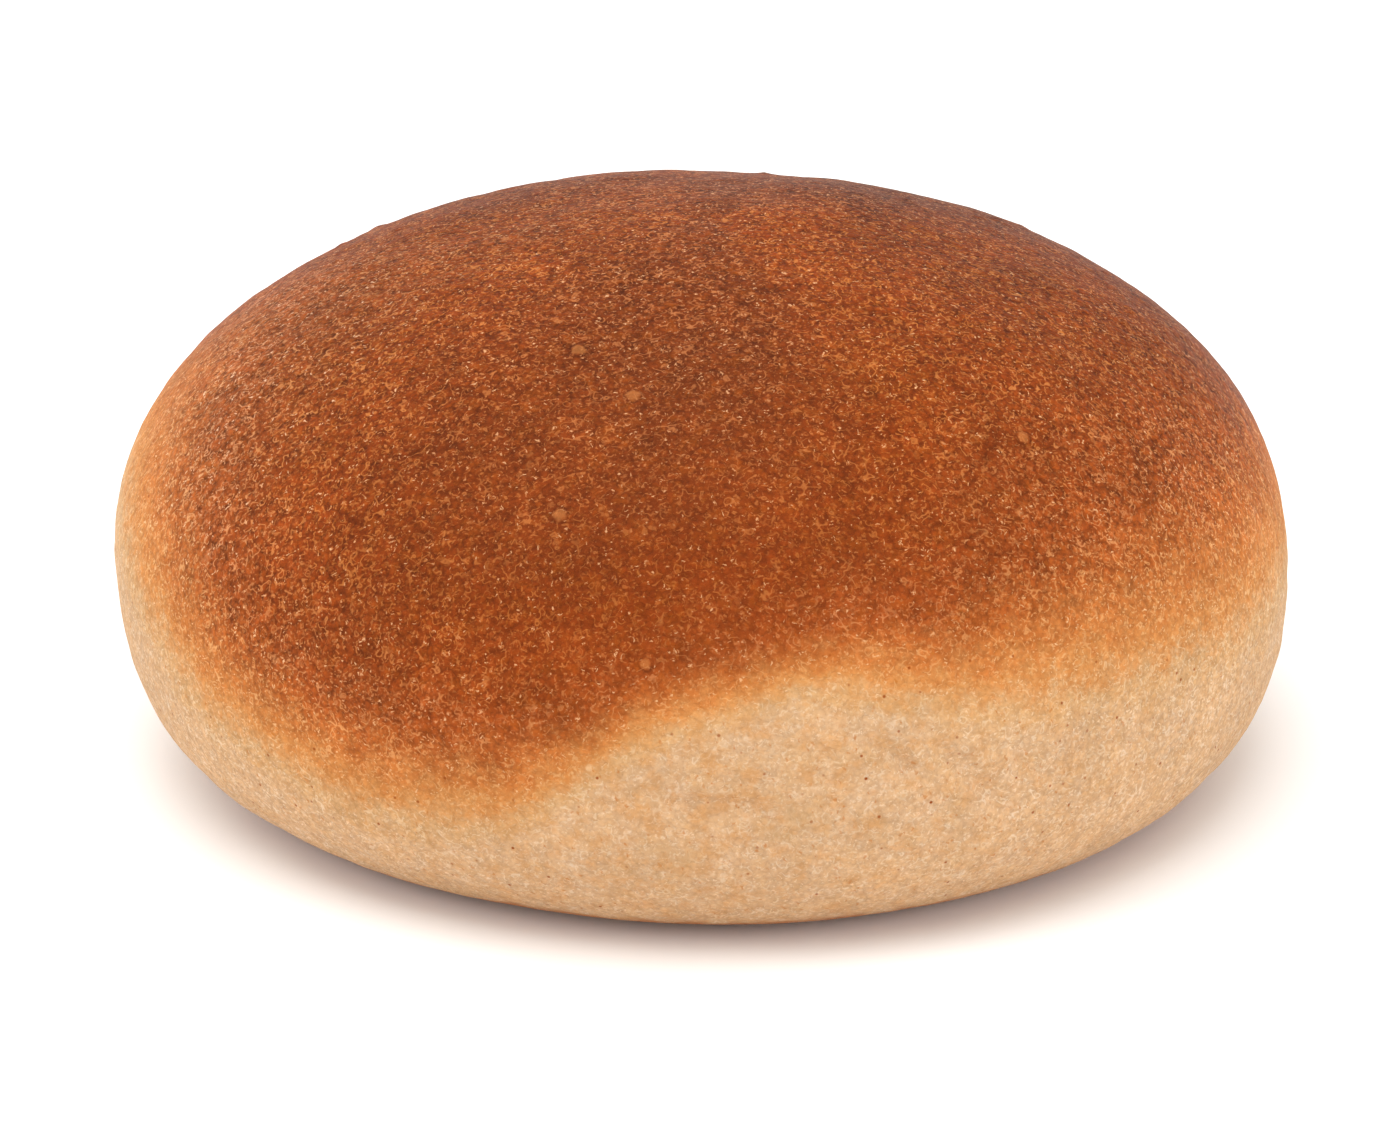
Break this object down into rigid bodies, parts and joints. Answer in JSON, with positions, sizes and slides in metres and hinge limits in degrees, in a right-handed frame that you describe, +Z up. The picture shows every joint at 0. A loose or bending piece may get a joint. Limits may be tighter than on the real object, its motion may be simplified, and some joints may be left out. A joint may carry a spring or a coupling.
{
  "type": "bread roll",
  "caption": "Soft round bread roll with a browned domed crown, a pale bulging side where it pressed on its neighbour, and a flat base to rest on.",
  "frame": {"origin": "middle of the roll's own box, at the height of the flat base", "axes": "+Z up out of the crown; +X along the longest width; -Y is the pale side that leaned on a neighbouring roll"},
  "size_m": [0.0994, 0.0942, 0.0478],
  "materials": {
    "crust": "soft baked crust: matt to faintly satin, red-brown on the crown, golden then cream low on the sides, with bran flecks"
  },
  "bodies": {
    "root": {"bread_roll": "crust"}
  },
  "joints": []
}
